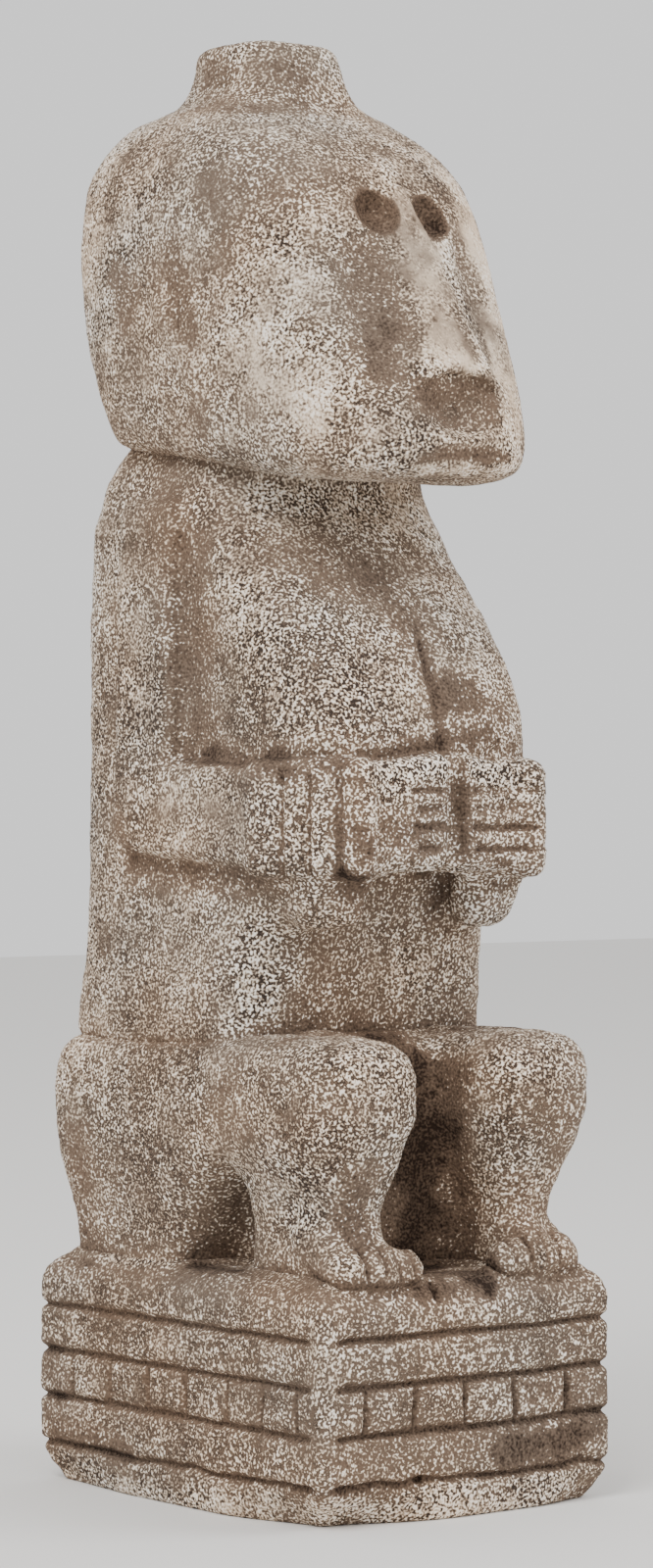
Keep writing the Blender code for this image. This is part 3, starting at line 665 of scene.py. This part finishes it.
patches = (  # x, y, z of two ends, radius, and how far the brown body shows (below 0: thicker wash); many stand for painted shade or painted light, as noted in each group
    # the nose and its sides, mouth, cheeks, brow and the pale left rim, with brown painted as shade under the
    # nose and as the shadow in the mouth's slit
    (46, -36, 694, 50, -42, 684, 9, -0.8), (-9, -53, 684, 38, -47, 687, 9, -0.5),
    (-66, -34, 694, -55, -48, 676, 14, 0.7), (62, -48, 680, 60, -70, 624, 14, -1.5),
    (-54, -56, 652, -32, -70, 650, 6, -0.7), (27, -60, 658, 37, -76, 630, 5, 1.0),
    (0, -66, 668, -6, -113, 582, 14, -0.9), (-31, -76, 636, -31, -94, 602, 13, 1.2),
    (26, -72, 650, 20, -110, 584, 6, -1.5), (34, -78, 628, 36, -100, 590, 4, 0.1),
    (32, -88, 610, 30, -96, 596, 6, -0.7), (60, -74, 618, 50, -94, 580, 14, -1.5),
    (-33, -94, 602, -37, -101, 576, 8, 1.0), (-18, -112, 584, 14, -114, 584, 6, -1.0),
    (-46, -93, 588, -46, -96, 574, 8, 0.7), (6, -112, 577, 19, -112, 582, 4, -1.2),
    # the first one below: brown painted as shade under the nose
    (-22, -111, 567, 16, -111, 568, 7, 1.3), (50, -94, 580, 38, -110, 545, 12, -2.0),
    (-24, -114, 555, 14, -113, 557, 8, 0.4), (-60, -76, 560, -30, -104, 540, 14, -0.7),
    # the last one below and the first on the next line: thin dark lines painted as the shadow in the mouth's
    # slit
    (-20, -118, 545, 32, -116, 546, 6, -0.9), (6, -119, 533, 38, -113, 534, 1.9, 1.7),
    (-30, -114, 531, 0, -119, 532.5, 1.9, 1.7), (-60, -98, 526, -20, -116, 523, 8, -0.7),
    (-20, -116, 522, 38, -114, 523, 8, -1.8),
    # crown, knob, temple, ear, the back of the head and the side of the neck
    (-25, 63, 760, 15, 17, 758, 6, -0.6), (-36, 45, 741, -6, 12, 738, 11, 1.1),
    (-36, 0, 718, -10, -4, 728, 7, 0.9), (-50, 40, 722, -52, 10, 722, 10, 0.9),
    (26, -32, 706, 62, -44, 686, 10, -1.0), (-66, 84, 712, -88, 88, 640, 16, -1.2),
    (-88, 40, 680, -90, 56, 650, 13, -0.5), (-80, -20, 672, -79, -36, 652, 16, 0.6),
    (-72, -54, 636, -62, -68, 622, 9, -0.6), (-91, 55, 634, -91, 50, 618, 10, 1.0),
    (-76, -46, 646, -74, -60, 600, 13, -0.6), (-90, 69, 612, -90, 66, 596, 9, -0.6),
    (-88, 92, 610, -84, 96, 560, 10, -0.9), (-80, -40, 598, -68, -76, 562, 17, -0.8),
    (-74, 38, 535, -80, 20, 500, 12, 0.4),
    # throat, chest, upper arm and the edge of the back: the throat painted lighter against the head's shadow,
    # the chest under the chin darker, partly dirt and partly the chin's painted shadow, and the back's edge
    # lighter, partly wash and partly a painted rim of light
    # the first one below: the throat painted lighter against the shadow under the head
    (-44, -24, 514, 52, -30, 512, 18, -0.7), (-80, 70, 494, -82, 60, 470, 13, -0.6),
    # these two: the chest under the chin, partly dirt and partly the chin's painted shadow
    (-40, -36, 490, -4, -62, 466, 20, 0.6), (-33, -54, 472, 0, -52, 482, 13, 0.4),
    (-76, -20, 474, -76, -53, 430, 14, -0.5), (-10, -58, 468, 6, -84, 410, 10, 0.7),
    (8, -66, 456, 14, -86, 410, 10, 0.5), (-90, 41, 435, -90, 41, 400, 14, -0.4),
    (-56, -86, 412, -30, -84, 420, 14, -0.6), (-75, -62, 424, -72, -62, 404, 9, -0.5),
    (-90, 38, 422, -89, 18, 404, 12, -0.5), (20, -88, 415, 50, -86, 405, 13, 0.4),
    (22, -86, 418, 24, -96, 397, 12, 0.6), (36, -90, 404, 46, -88, 404, 8, 0.7),
    # the edge of the back: lighter, partly wash and partly a painted rim of light
    (-78, 100, 520, -85, 98, 265, 10, -0.6),
    # forearm, cuff, hands and what is under them, the brown under the hands and pads being painted shade
    (4, -96, 391, 39, -94, 394, 5, 1.0), (-48, -96, 381, 0, -97, 389, 6, 1.4),
    (-46, -102, 378, -8, -106, 381, 8, -0.9), (-80, -62, 380, -66, -96, 378, 7, 1.0),
    (-66, -101, 379, -50, -104, 379, 6, 0.7), (-93, -66, 377, -91, -50, 380, 6, 0.8),
    (8, -106, 379, 50, -99, 373, 8, -0.7), (-52, -104, 376, -40, -107, 366, 8, -0.7),
    (24, -107, 369, 54, -107, 364, 7, -0.4), (6, -104, 388, 4, -106, 336, 7, 0.9),
    (-93, -30, 365, -93, -50, 352, 10, -0.5), (-50, -104, 350, 50, -104, 350, 24, 0.3),
    (13, -107, 362, 13, -107, 336, 7, 0.5), (-40, -105, 352, -12, -107, 346, 9, 0.4),
    (-57, -100, 372, -56, -101, 322, 6, 1.3), (-50, -107, 344, -24, -107, 337, 9, 0.5),
    (-66, -104, 342, -60, -105, 324, 8, 0.5), (30, -110, 326, 58, -104, 323, 6, 1.0),
    (30, -106, 329, 48, -88, 314, 9, 0.6), (-52, -100, 320, -36, -88, 300, 11, 0.8),
    (-12, -59, 316, 31, -60, 304, 13, 0.5), (-62, -94, 316, -34, -84, 304, 11, 0.5),
    # lap, knees, shins and feet, between them, and the seat; the dark between the legs, on the far leg's
    # inner side and in the side opening is painted shade
    (-78, -48, 295, -80, -46, 255, 10, -0.7), (-32, -49, 282, 30, -46, 262, 16, 0.3),
    (-68, -43, 272, -68, -44, 258, 8, -0.4), (20, -46, 272, 36, -44, 252, 9, -0.8),
    (-44, -45, 250, -34, -48, 266, 12, 0.4), (-76, -110, 236, -47, -118, 228, 12, -0.3),
    (33, -115, 226, 66, -119, 219, 12, -0.3), (9, -64, 224, 19, -69, 204, 8, 0.6),
    (-94, -40, 222, -94, -48, 200, 12, 0.5), (20, -84, 222, 22, -76, 190, 10, 1.2),
    (-94, -44, 214, -94, -30, 196, 10, 0.3), (48, -119, 205, 72, -112, 188, 14, 0.35),
    # the first one below: the gap between the legs painted dark as shade
    (-6, -66, 235, 4, -66, 118, 18, 3.0), (79, -118, 222, 74, -118, 130, 14, 0.5),
    (-79, -88, 172, -79, -82, 150, 9, -0.6), (-62, -106, 174, -60, -108, 144, 10, 1.2),
    (24, -80, 190, 33, -72, 125, 11, 1.1), (44, -110, 165, 46, -108, 140, 10, 0.7),
    # these two: the side opening under the thigh painted dark as shade
    (-90, 84, 176, -88, 90, 126, 14, 1.0), (-91, 60, 165, -86, 72, 130, 10, 0.5),
    (-5, -66, 152, -5, -66, 140, 8, -1.4), (-58, -116, 130, -30, -104, 128, 10, 0.3),
    # the block's top, its foot and smudges, and the whole of two sides a little; on the top, brown painted as
    # shade where the legs meet it and in the gap beneath them, and along the foot, lighter as painted light
    # from the floor
    # these three lines: brown painted as shade where the legs and seat meet the top and in the gap beneath
    # them
    (-78, -30, 121, -82, -104, 123, 5, 0.9), (-8, -92, 121, 12, -108, 121, 12, 2.2),
    (-76, -24, 120, -78, 2, 120, 8, 1.8), (-76, -116, 122, -31, -120, 118, 3, 0.9),
    (-95, -23, 118, -88, -113, 121, 5, 0.4), (-26, -120, 117, 8, -120, 117, 7, 1.2),
    (-50, -121, 82, 86, -121, 82, 26, 0.2), (-96, -100, 60, -96, 100, 60, 60, 0.12),
    (-80, -121, 60, 80, -121, 60, 60, 0.13), (-96, 112, 66, -96, 104, 50, 10, 1.0),
    (40, -121, 60, 66, -121, 54, 9, 0.7), (60, -121, 62, 90, -121, 50, 12, 0.5),
    (0, -121, 38, 90, -121, 36, 9, 0.45), (-80, -121, 38, 80, -121, 36, 13, 0.35),
    (26, -121, 30, 70, -121, 34, 10, 1.6), (-96, 104, 27, -96, 44, 21, 6, 1.1),
    (10, -121, 16, 22, -121, 14, 6, 0.8), (-19, -121, 13, 70, -121, 11, 6, -0.6),
    # from here to the end: the block's foot painted lighter as light bounced from the floor
    (-92, -76, 4, -78, -107, 7, 12, -1.6), (-78, -107, 7, -20, -117, 3, 11, -1.6),
    (-92, 108, 5, -94, 70, 2, 10, -1.0), (-94, 60, 0, -92, -76, 4, 6, -1.2),
    (-20, -119, 1, 60, -120, 0, 7, -1.2))
patchesBothSides = (  # the same, on the left and on the right: ear, inside and underside of the arm, thigh; the pocket inside the arm is partly brown body and partly painted shade, and the underside of the arm, the line behind it, the opening under the thigh and the creases at the hips are painted shade
    (91, 8, 640, 91, -6, 600, 9, 1.1), (91, -4, 586, 81, -11, 542, 5, 0.5), (82, 6, 478, 82, 3, 392, 15, 1.2),
    (82, 0, 382, 84, -75, 378, 7, 1.4), (83, 51, 323, 78, -60, 321, 8, 1.0),
    (92, 64, 348, 90, 56, 330, 9, 1.0), (74, -10, 165, 64, 5, 121, 13, 0.7),
    (79, -70, 241, 20, -60, 244, 5, 1.3), (88, 96, 239, 88, 80, 239, 4, 0.9))
shadeLifted = (  # sheltered places given less painted shade, as the real shade there is enough, and the share of shelter lost
    (-62, -10, 516, 66, -24, 512, 26, 0.8), (-84, 66, 536, -82, 10, 528, 14, 0.5),
    (-72, -14, 165, -64, 0, 124, 20, 0.35))
smoothed = (  # where the wash was laid on smooth, and how far
    (0, -72, 654, 2, -114, 584, 13, 1.3), (56, -60, 660, 48, -98, 580, 14, 0.8),
    (-86, -24, 590, -76, -64, 560, 17, 0.5), (-94, 10, 352, -94, -50, 344, 14, 0.5))


def laid(p, places, ragged):
    # patches added up: each has its whole amount along a short line and none outside its radius, and
    # its edge is as ragged as the radius allows
    total = np.zeros(len(p))
    for *ends, radius, amount in places:
        uneven = ragged * min(max(radius / 9, 0.4), 1.2)
        away = stick(p, ends[:3], ends[3:], radius, radius) + uneven
        total += amount * ease(0.7 * radius, -0.7 * radius, away)
    return total


def wearAndPaintedLightAt(p, ragged):
    # where the brown body shows, where the wash lies thick, and where shade and light are painted on: the
    # patches, and the eye sockets
    total = laid(p, patches, ragged) + laid(mirrored(p), patchesBothSides, ragged)
    return total + wear["sockets"] * ease(2.0, 0.5, eyeSockets(p) + 0.06 * ragged)


def dress(p, normal, carving, form):
    # carve a surface, roughen it, and note for the wash where it is sheltered (bare brown body and painted
    # shade), raised, rubbed brown or painted darker and lighter by the patches, and where its flecks stand
    # out most
    depth = carving(p)
    ragged = 5 * roughness(p, 16, 71) + 3 * roughness(p, 5, 72)
    pit = pits(p, grain["pitSpacing"], grain["pitRadius"], 31)
    # hollow: partly the brown body bare in hollows, partly painted shade: darker the more enclosed a place is
    # and in carved lines and pits, lighter on edges
    hollow = (1 - laid(p, shadeLifted, ragged)) * shelter(p, normal, form)
    hollow += wear["carved"] * depth + wear["pitted"] * pit
    hollow -= np.minimum(wear["edges"] * exposed(p, normal, form), wear["edgesMost"])
    rough = (stoneRelief(p) - grain["pitDepth"] * pit) * ease(0.2, 4, p[:, 2])     # none on the underside
    carved = p + normal * (rough - depth)[:, None]
    front, knob = ease(0, -0.6, normal[:, 1]), ease(700, 712, p[:, 2])
    bold = handsNear(p) + ease(500, 440, p[:, 2]) * (wear["boldBody"] + wear["boldFront"] * front)
    bold += wear["boldKnob"] * knob
    bold -= laid(p, smoothed, ragged)
    wearAndPaintedLight = np.clip(wearAndPaintedLightAt(p, ragged), -2, 3)
    return carved, {"hollow": hollow, "raised": rough, "wearAndPaintedLight": wearAndPaintedLight, "bold": bold}


block = {
    "halfWidth": 96.0, "halfDepth": 121.0, "corner": 5.0,
    "profile": (  # inset from the widest outline and height, from the underside's middle to the top's
        (96, 0), (60, 0), (20, 0), (3.6, 0), (2.2, 1), (1.2, 3), (0.4, 7), (0, 12), (0, 104), (0.5, 108),
        (2.2, 113), (4.4, 116), (7, 118.4), (10.5, 120.2), (15, 121), (58, 121), (96, 121)),
    "spacing": 1.25, "insideSpacing": 6.0,
    "grooves": (20.4, 45.8, 70.0, 93.6), "grooveHalf": 2.0, "grooveDepth": 3.6, "sideLevels": (14, 104),
    "longTiles": (90, 57.5, 24, -8, -43.4, -71.6, -99.2),     # where the long sides' band is cut, along Y
    "endTiles": (-67, -35, -2, 30, 65),                       # and the ends', along X
    "tileHalf": 1.7, "tileDepth": 3.2,
    "keptCorner": (-96, -121), "keptFade": (5, 16),           # the grooves stop short of this one
    "wornCorners": (  # x, y, amount, height, radius
        (-96, 121, 6, 24, 90), (-96, -121, 15, 28, 90), (96, -121, 6, 20, 50), (96, 121, 5, 14, 60)),
    "dents": (  # a notch and a hole: place, half sizes, depth, fade
        ((-20, -121, 121), (3.0, 12.0, 13.0), 6.5, (1.2, 0.1)),
        ((-31, -121, 21), (4.5, 4.5, 3.4), 6.0, (1.1, 0.3))),
    "box": ((0, 0, 58), (96, 121, 63), 7),         # the plain block: middle, half size, edge
    "spill": 2.6,                                 # how far the top rises to meet what stands on it
    "around": 590,
}


def blockForm(p):
    # the block as a plain box with rounded edges, for shading
    return slabForm(p, *block["box"])


def blockOutline():
    # a rounded rectangle walked round at even steps from the front of one long side: four times a
    # straight and a bend, worked out as complex numbers and turned on by a quarter each time
    s = block
    r = s["corner"]
    w, d = s["halfWidth"] - r, s["halfDepth"] - r
    half, out = np.array((d, w, d, w)), np.array((w, d, w, d))      # of each straight, and how far out
    ends = np.concatenate(([0], np.cumsum(2 * half + math.pi * r / 2)))
    along = np.linspace(0, ends[-1], s["around"], endpoint=False)
    quarter = np.searchsorted(ends, along, side="right") - 1
    t, half, out = along - ends[quarter], half[quarter], out[quarter]
    onStraight = out + r + 1j * (t - half)
    onBend = out + 1j * half + r * np.exp(1j * (t - 2 * half) / r)
    place = np.where(t < 2 * half, onStraight, onBend) * 1j ** quarter
    return place.real, place.imag


def blockNet():
    # the profile carried round the outline, each row drawn in towards the middle by its inset
    s = block
    x, y = blockOutline()
    inset, z = np.asarray(s["profile"], float).T
    length = np.hypot(np.diff(inset), np.diff(z))
    hidden = (np.minimum(z[:-1], z[1:]) <= 0) & (inset[1:] > 3) | (inset[:-1] > 57)
    counts = np.ceil(length / np.where(hidden, s["insideSpacing"], s["spacing"])).astype(int)
    rows = [np.linspace(i, i + 1, max(count, 1), endpoint=False) for i, count in enumerate(counts)]
    at = np.concatenate(rows + [[len(length)]])
    inset = np.interp(at, np.arange(len(inset)), inset)
    z = np.interp(at, np.arange(len(z)), z)
    worn = np.zeros((len(z), len(x)))
    for cornerX, cornerY, amount, height, radius in s["wornCorners"]:
        corner = np.hypot(x - cornerX, y - cornerY)
        worn += amount * ease(height, 0, z)[:, None] * ease(radius, 0, corner)
    share = 1 - (inset[:, None] + worn) / s["halfWidth"]
    share = np.maximum(share, 0)
    return np.stack((x * share, y * share, np.broadcast_to(z[:, None], share.shape)), 2)


def blockCarving(p):
    # grooves that ring the block, the cuts that part one band into squares, a notch, a hole and wear
    s = block
    side = (p[:, 2] > s["sideLevels"][0]) & (p[:, 2] < s["sideLevels"][1])
    waver = 0.9 * roughness(p * (1, 1, 0.2), 38, 51) + 0.4 * roughness(p * (1, 1, 0.2), 11, 52)
    kept = ease(*s["keptFade"], np.hypot(p[:, 0] - s["keptCorner"][0], p[:, 1] - s["keptCorner"][1]))
    depth = np.zeros(len(p))
    for i, height in enumerate(s["grooves"]):
        ragged = 1.6 * roughness(p * (1, 1, 0.3), 15, 57) if i == 0 else 0
        wide = s["grooveHalf"] * (1 + 0.25 * roughness(p * (1, 1, 0), 17, 61 + i))
        line = np.exp(-((p[:, 2] - height - waver - ragged) / wide) ** 2)
        depth = np.maximum(depth, s["grooveDepth"] * kept * line * side)
    low, high = s["grooves"][1] + 0.5, s["grooves"][2] - 0.5
    inBand = ease(low - 1, low + 1, p[:, 2]) * ease(high + 1, high - 1, p[:, 2])
    onLong = np.abs(p[:, 0]) > s["halfWidth"] - 2
    onEnd = np.abs(p[:, 1]) > s["halfDepth"] - 2
    for where, cuts, coordinate in ((onLong, s["longTiles"], p[:, 1]), (onEnd, s["endTiles"], p[:, 0])):
        for place in cuts:
            lean = 0.05 * math.sin(place) * (p[:, 2] - 58) + 0.5 * roughness(p, 9, 65)
            line = np.exp(-((coordinate - place - lean) / s["tileHalf"]) ** 2)
            depth = np.maximum(depth, s["tileDepth"] * line * inBand * where)
    for place, half, deep, fade in s["dents"]:
        depth = np.maximum(depth, deep * ease(*fade, farFrom(p, place, half)))
    return depth - s["spill"] * ease(8, 0, standing(p)) * ease(116, 120.5, p[:, 2])


def linear(hexColour):
    # an sRGB hex colour as linear red, green, blue and alpha
    parts = [int(hexColour[i:i + 2], 16) / 255 for i in (1, 3, 5)]
    return tuple(c / 12.92 if c <= 0.04045 else ((c + 0.055) / 1.055) ** 2.4 for c in parts) + (1.0,)


def addNode(tree, kind, settings=None, links=None):
    # one node, its properties and socket values set and its inputs linked
    node = tree.nodes.new(kind)
    for key, value in (settings or {}).items():
        if isinstance(key, int) or key in node.inputs:
            node.inputs[key].default_value = value
        else:
            setattr(node, key, value)
    for key, source in (links or {}).items():
        tree.links.new(source, node.inputs[key])
    return node


def perMetre(millimetres):
    # a pattern's scale from the real size of its grain
    return 1000.0 / millimetres


wash = {
    "patterns": {  # grain in mm, detail, twist
        "speck": (1.4, 0.5, 0.3), "calm": (20, 2.0, 0), "blot": (13, 3.0, 0), "cloud": (55, 2.0, 0),
        "tint": (90, 1.0, 0)},
    "ground": 0.452, "speck": 1.04, "bold": 0.8, "calm": 2.8, "blot": 0.10, "cloud": 0.11,   # the shares
    # the hollow share darkens the wash as painted shade; the patches' share darkens and lightens it, partly
    # as wear and partly as painted shade and light
    "raised": 0.10, "hollow": -0.09, "wearAndPaintedLight": -0.09,
    "stops": (  # the wash from worn thin to whole
        (0.30, "#362E29"), (0.36, "#53483E"), (0.42, "#6C5F54"), (0.48, "#897A6C"), (0.53, "#AE9F8E"),
        (0.575, "#D0C0AC"), (0.64, "#E4D6C4"), (0.74, "#FFFBF3")),
    "bare": "#7A695B", "deep": "#2A1F18", "deepFrom": 0.5, "deepTo": 3.6, "deepSpeck": -5.0,   # the body, bare and deep: the deep brown is painted shade where hollows and patches are strongest
    "bareFrom": 0.35, "bareTo": 0.9, "bareSpeck": -4.0, "shadeInHollows": 1.5,    # where it shows, and how far hollows show it as painted shade
    "warm": "#FFF4EA", "cool": "#F6F5F4", "tintSpan": 0.15,
    "roughness": 0.94, "ior": 1.5, "specular": 0.2, "grit": 0.7,
}


def whitewashedStone():
    # Cast stone with a lime wash rubbed over a brown body. It gives the eye a dead matt, chalky
    # skin: cream flecks where the wash stands, flat brown where it is rubbed off or never reached, and brown
    # painted as shade in hollows, creases and gaps.
    s = wash
    material = bpy.data.materials.new("whitewashed cast stone")
    material.use_nodes = True
    tree = material.node_tree
    shader = tree.nodes["Principled BSDF"]
    place = addNode(tree, "ShaderNodeTexCoord").outputs["Object"]

    sources = {name: addNode(tree, "ShaderNodeAttribute", {"attribute_name": name}).outputs["Fac"]
               for name in ("raised", "hollow", "wearAndPaintedLight", "bold")}
    for name, (size, detail, twist) in s["patterns"].items():
        settings = {"Scale": perMetre(size), "Detail": detail, "Roughness": 0.6, "Distortion": twist}
        found = addNode(tree, "ShaderNodeTexNoise", settings, {"Vector": place}).outputs["Fac"]
        centred = addNode(tree, "ShaderNodeMath", {"operation": "SUBTRACT", 1: 0.5}, {0: found})
        sources[name] = centred.outputs[0]
    speck = sources["speck"]

    # the wash's level: ground + speck x (its share, more where bold, less where calm) + the other shares
    amount = addNode(tree, "ShaderNodeMath", {"operation": "MULTIPLY_ADD", 1: s["calm"], 2: s["speck"]},
                     {0: sources["calm"]}).outputs[0]
    amount = addNode(tree, "ShaderNodeMath", {"operation": "MULTIPLY_ADD", 1: s["bold"]},
                     {0: sources["bold"], 2: amount}).outputs[0]
    level = addNode(tree, "ShaderNodeMath", {"operation": "MULTIPLY_ADD", 2: s["ground"]},
                    {0: speck, 1: amount}).outputs[0]
    for name in ("blot", "cloud", "raised", "hollow", "wearAndPaintedLight"):
        level = addNode(tree, "ShaderNodeMath", {"operation": "MULTIPLY_ADD", 1: s[name]},
                        {0: sources[name], 2: level}).outputs[0]
    tone = addNode(tree, "ShaderNodeValToRGB", None, {"Fac": level})
    ramp = tone.color_ramp
    while len(ramp.elements) < len(s["stops"]):
        ramp.elements.new(0.5)
    for element, (position, colour) in zip(ramp.elements, s["stops"]):
        element.position = position
        element.color = linear(colour)

    # the brown body: shown where it is rubbed, painted in as shade where it is sheltered, and going to deep
    # brown as painted shade where both are strong; its edge and its depth broken by the speck
    wearAndShade = addNode(tree, "ShaderNodeMath", {"operation": "MULTIPLY_ADD", 1: s["shadeInHollows"]},
                        {0: sources["hollow"], 2: sources["wearAndPaintedLight"]}).outputs[0]
    wearAndPaintedLight, depth = (addNode(tree, "ShaderNodeMath", {"operation": "MULTIPLY_ADD", 1: s[name]},
                             {0: speck, 2: wearAndShade}).outputs[0] for name in ("bareSpeck", "deepSpeck"))
    wearAndPaintedLight = addNode(tree, "ShaderNodeMapRange", {"interpolation_type": "SMOOTHSTEP", 1: s["bareFrom"],
                                                  2: s["bareTo"]}, {0: wearAndPaintedLight}).outputs[0]
    depth = addNode(tree, "ShaderNodeMapRange", {1: s["deepFrom"], 2: s["deepTo"]}, {0: depth}).outputs[0]
    body = addNode(tree, "ShaderNodeMix", {"data_type": "RGBA", 6: linear(s["bare"]), 7: linear(s["deep"])},
                   {0: depth}).outputs[2]
    worn = addNode(tree, "ShaderNodeMix", {"data_type": "RGBA"},
                   {0: wearAndPaintedLight, 6: tone.outputs["Color"], 7: body}).outputs[2]
    span = s["tintSpan"]
    tint = addNode(tree, "ShaderNodeMapRange", {1: -span, 2: span}, {0: sources["tint"]}).outputs[0]
    tint = addNode(tree, "ShaderNodeMix", {"data_type": "RGBA", 6: linear(s["warm"]), 7: linear(s["cool"])},
                   {0: tint}).outputs[2]
    colour = addNode(tree, "ShaderNodeMix", {"data_type": "RGBA", "blend_type": "MULTIPLY", 0: 1.0},
                     {6: worn, 7: tint}).outputs[2]
    tree.links.new(colour, shader.inputs["Base Color"])
    for socket, name in (("Roughness", "roughness"), ("IOR", "ior"), ("Specular IOR Level", "specular")):
        shader.inputs[socket].default_value = s[name]
    bump = addNode(tree, "ShaderNodeBump", {"Strength": s["grit"], "Distance": 0.001}, {"Height": speck})
    tree.links.new(bump.outputs["Normal"], shader.inputs["Normal"])
    return material


def towardsHands(p):
    # more points where the fingers and cuffs are
    return 1 + 2 * ease(75, 35, farFrom(mirrored(p), (40, -90, 352)))


def towardsFace(p):
    # and on the face
    return 1 + ease(95, 40, farFrom(p, (0, -95, 600)))


stone = whitewashedStone()
plans = (  # name, form, carving, spine (x, y, low, high), net's share over each end, where points gather
    ("head", headForm, headCarving, (0, 10, 560, 725), 0.16, towardsFace),
    ("trunk", torsoForm, torsoCarving, (0, 15, 240, 530), 0.08, towardsHands),
)
pieces = []
for name, form, carving, spine, caps, attract in plans:
    net = wrap(form, spine, caps, attract)
    print("wrapped", name, net.shape)
    points, marks = dress(ofNet(net), ofNet(facing(net)), carving, wholeForm)
    pieces.append(makePiece(name, points, netFaces(*net.shape[:2]), marks))

points, faces = latticeSkin(legsForm, [ruled(legs[axis]) for axis in ("latticeX", "latticeY", "latticeZ")])
points = settle(legsForm, points, 2)
outward = steepest(legsForm, points)[1]
outward /= np.sqrt((outward ** 2).sum(1, keepdims=True)) + 1e-9
points, marks = dress(points, outward, legsCarving, wholeForm)
pieces.append(makePiece("legs", points, faces, marks))

net = blockNet()
points, marks = dress(ofNet(net), ofNet(facing(net)), blockCarving, wholeForm)
pieces.append(makePiece("block", points, netFaces(*net.shape[:2]), marks))

for piece in pieces:
    piece.data.materials.append(stone)
    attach(piece, "root")
    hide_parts("statue")

studio = {
    "floor": "#E6E4E1", "floorHalf": 6, "sky": "#FFFFFF", "skyStrength": 1.05,
    "key": ((-2.2, -1.0, 2.8), 1.6, 80), "fill": ((1.9, -2.0, 2.0), 1.6, 42),   # place, size, power
}
# degrees round from the front towards the right-hand side, metres, and the lens in mm
view = {"turn": 38.6, "distance": 2.330, "height": 0.369, "aside": 0.0030, "lens": 101.9925}

floorMesh = bpy.data.meshes.new("floor")
corners = np.array([(-1, -1, 0), (1, -1, 0), (1, 1, 0), (-1, 1, 0)]) * studio["floorHalf"]
floorMesh.from_pydata(corners, [], [(0, 1, 2, 3)])
floor = addObject("floor", floorMesh)
paper = bpy.data.materials.new("matt white backdrop paper")
paper.use_nodes = True
paperShader = paper.node_tree.nodes["Principled BSDF"]
paperShader.inputs["Base Color"].default_value = linear(studio["floor"])
paperShader.inputs["Roughness"].default_value = 0.9
floor.data.materials.append(paper)

world = bpy.data.worlds.new("studio")
bpy.context.scene.world = world
world.use_nodes = True
sky = world.node_tree.nodes["Background"]
sky.inputs["Color"].default_value = linear(studio["sky"])
sky.inputs["Strength"].default_value = studio["skyStrength"]

middle = (cadLow + cadHigh) / 2
for name in ("key", "fill"):
    where, size, power = studio[name]
    lamp = bpy.data.lights.new(name, "AREA")
    lamp.size = size
    lamp.energy = power
    lampObject = addObject(name, lamp)
    lampObject.location = where
    lampObject.rotation_euler = (middle - Vector(where)).to_track_quat("-Z", "Y").to_euler()

turn = math.radians(view["turn"])
camera = bpy.data.cameras.new("camera")
camera.sensor_fit = "VERTICAL"
camera.sensor_height = 36
camera.lens = view["lens"]
cameraObject = addObject("camera", camera)
cameraObject.location = (Vector((-math.sin(turn), -math.cos(turn), 0)) * view["distance"]
                         + Vector((math.cos(turn), -math.sin(turn), 0)) * view["aside"]
                         + Vector((0, 0, view["height"])))
cameraObject.rotation_euler = (math.pi / 2, 0, -turn)
bpy.context.scene.camera = cameraObject
